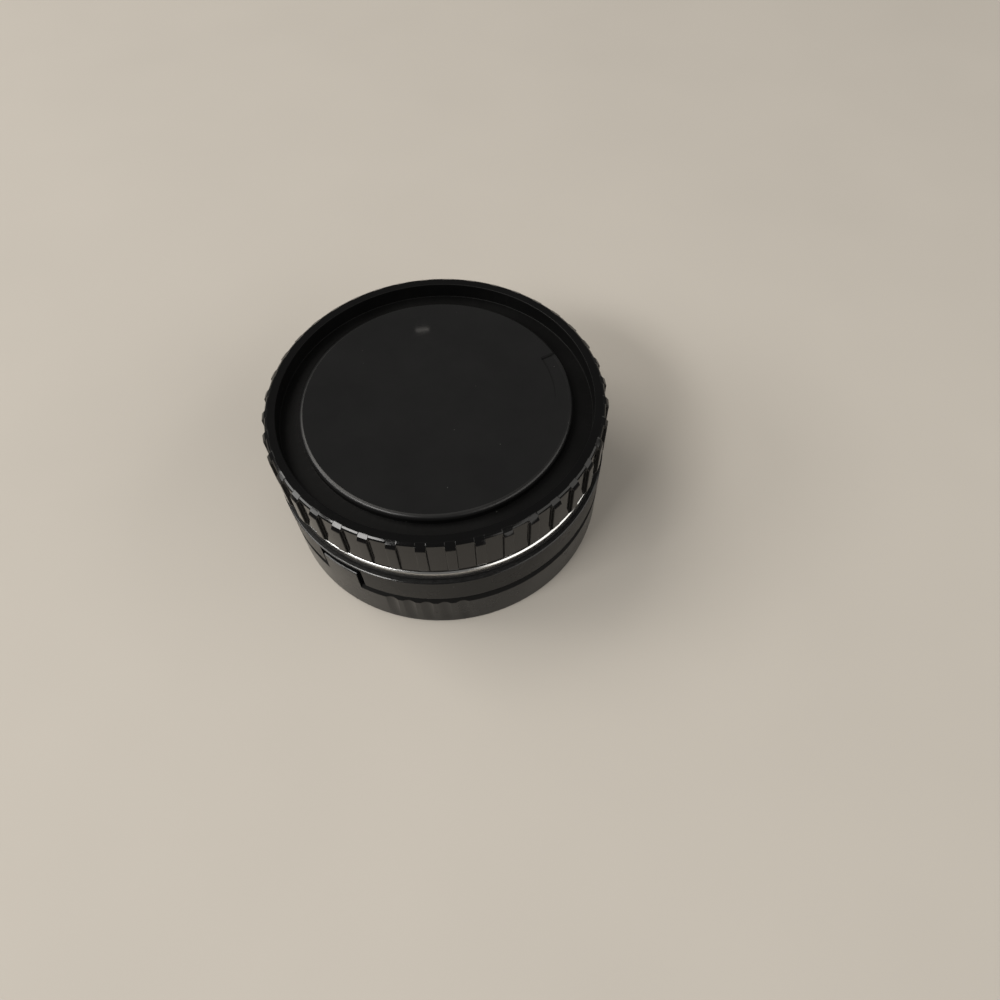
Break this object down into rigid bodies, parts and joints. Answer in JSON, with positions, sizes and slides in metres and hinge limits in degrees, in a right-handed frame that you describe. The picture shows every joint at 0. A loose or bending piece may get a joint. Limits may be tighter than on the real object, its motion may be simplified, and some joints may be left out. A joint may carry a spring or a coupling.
{
  "type": "camera teleconverter",
  "caption": "Short round camera teleconverter standing on its lens side, with a ribbed rear cap on its chromed bayonet, a lens release ring with a tab, and lens elements inside.",
  "frame": {"origin": "on the optical axis, in the plane of the lens-side rim that the converter stands on", "axes": "+Z along the optical axis towards the camera side and the cap; -Y towards the side with the finger flutes beside the tab"},
  "size_m": [0.0622, 0.0622, 0.0287],
  "materials": {
    "cap_plastic": "moulded black plastic, semi-gloss",
    "chrome": "turned and chromed brass",
    "screw_steel": "bright steel",
    "stippled_black": "matte black, fine stipple",
    "black_paint": "satin black paint",
    "frame_black": "matte black anodised",
    "spring_steel": "spring steel",
    "lever_brass": "blackened brass",
    "coated_glass": "coated optical glass",
    "baffle_black": "flocked matte black",
    "index_red": "red enamel"
  },
  "bodies": {
    "housing": {"rear_bayonet": "chrome", "rear_bayonet_screws": "screw_steel", "neck_ring": "stippled_black", "rear_shell": "black_paint", "main_frame": "frame_black", "release_spring": "spring_steel", "front_bayonet": "chrome", "front_bayonet_screws": "screw_steel", "bayonet_leaf_springs": "spring_steel", "lock_pin_spring": "spring_steel", "aperture_spring": "spring_steel", "aperture_retainer": "frame_black", "aperture_retainer_screws": "screw_steel", "lens_barrel": "frame_black", "barrel_lock_ring": "frame_black", "front_element": "coated_glass", "front_retaining_ring": "frame_black", "front_spacer": "frame_black", "doublet_flint": "coated_glass", "doublet_crown": "coated_glass", "rear_spacer": "frame_black", "rear_element": "coated_glass", "rear_retaining_ring": "frame_black", "rear_baffle": "baffle_black", "index_beads": "index_red"},
    "cap": {"rear_cap": "cap_plastic"},
    "release_ring": {"release_ring": "black_paint"},
    "lock_pin": {"lens_lock_pin": "spring_steel"},
    "aperture_ring": {"aperture_ring": "lever_brass"}
  },
  "joints": [
    {"name": "cap_turn", "type": "hinge", "parent": "housing", "child": "cap", "pos_m": [0, 0, 0.0237], "axis": [0, 0, 1], "range_deg": [0, 60]},
    {"name": "release_turn", "type": "hinge", "parent": "housing", "child": "release_ring", "pos_m": [0, 0, 0.003], "axis": [0, 0, 1], "range_deg": [0, 1.9], "stiffness_Nm_per_rad": 0.3, "springref_deg": -5.73, "deforming": ["release_spring"]},
    {"name": "lock_pin_slide", "type": "slide", "parent": "housing", "child": "lock_pin", "axis": [0, 0, 1], "range_m": [0, 0.00097], "deforming": ["lock_pin_spring"]},
    {"name": "aperture_turn", "type": "hinge", "parent": "housing", "child": "aperture_ring", "pos_m": [0, 0, 0.0083], "axis": [0, 0, 1], "range_deg": [0, 24], "stiffness_Nm_per_rad": 0.02, "springref_deg": -17.19, "deforming": ["aperture_spring"]}
  ],
  "couplings": [
    {"joint": "lock_pin_slide", "follows": "release_turn", "m_per_rad": 0.02915}
  ]
}
